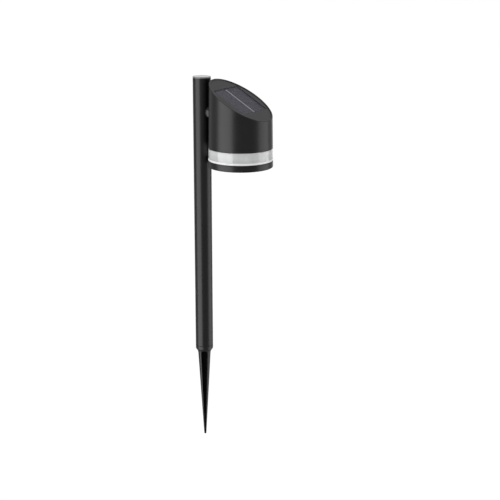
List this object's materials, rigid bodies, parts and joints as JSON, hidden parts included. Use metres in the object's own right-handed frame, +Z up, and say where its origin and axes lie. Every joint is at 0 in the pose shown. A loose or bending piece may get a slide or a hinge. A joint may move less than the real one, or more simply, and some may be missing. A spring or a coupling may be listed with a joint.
{
  "type": "solar garden stake light",
  "caption": "Solar garden light on a spike: a thin post with a round side-mounted head, slanted solar top and a clear all-round light ring.",
  "frame": {"origin": "on the post's axis at the ground line, at the spike's root, where the collar ends", "axes": "+Z up along the post; +X from the post towards the head; the object is symmetric about the XZ plane apart from the spike's turn and the switch"},
  "size_m": [0.0903, 0.0674, 0.4004],
  "materials": {
    "post_paint": "satin black powder coat",
    "spike_plastic": "moulded black, slightly glossy edges",
    "trim_plastic": "moulded black",
    "cap_plastic": "moulded dark grey",
    "head_plastic": "satin black",
    "bezel_plastic": "matt dark grey",
    "steel": "zinc plated",
    "brass": "turned",
    "adhesive": "foam tape",
    "laminate": "woven board",
    "silicon": "purple-grey cell",
    "ribbon": "tinned ribbon",
    "clear_resin": "clear, glossy",
    "clear_plastic": "clear polycarbonate",
    "gasket_rubber": "matt black",
    "silver_plating": "vacuum plated plastic",
    "board": "white solder mask",
    "lamp": "phosphor",
    "parts_black": "moulded",
    "contact_metal": "nickel plated",
    "cell_sleeve": "shrink sleeve over a metal can",
    "wire_cover": "insulated wire"
  },
  "bodies": {
    "spike": {"ground_spike": "spike_plastic"},
    "light": {"post_tube": "post_paint", "post_cap": "cap_plastic", "saddle_spacer": "trim_plastic", "curved_washer": "trim_plastic", "fixing_screw": "steel", "threaded_insert": "brass", "access_plug": "trim_plastic", "head_shell": "head_plastic", "bezel_tape": "adhesive", "panel_bezel": "bezel_plastic", "solar_backing": "laminate", "solar_cells": "silicon", "busbar": "ribbon", "panel_cover": "clear_resin", "panel_leads": "wire_cover", "light_ring": "clear_plastic", "upper_gasket": "gasket_rubber", "lower_gasket": "gasket_rubber", "reflector": "silver_plating", "light_board": "board", "leds": "lamp", "charge_parts": "parts_black", "battery_tray": "parts_black", "battery_contacts": "contact_metal", "battery_cell": "cell_sleeve", "base_cup": "head_plastic", "base_screws": "steel", "switch_body": "parts_black", "switch_leads": "wire_cover"},
    "switch": {"switch_knob": "trim_plastic"}
  },
  "joints": [
    {"name": "post_pull", "type": "slide", "parent": "spike", "child": "light", "axis": [0, 0, 1], "range_m": [0, 0.022]},
    {"name": "switch_slide", "type": "slide", "parent": "light", "child": "switch", "axis": [0, 1, 0], "range_m": [0, 0.004]}
  ]
}
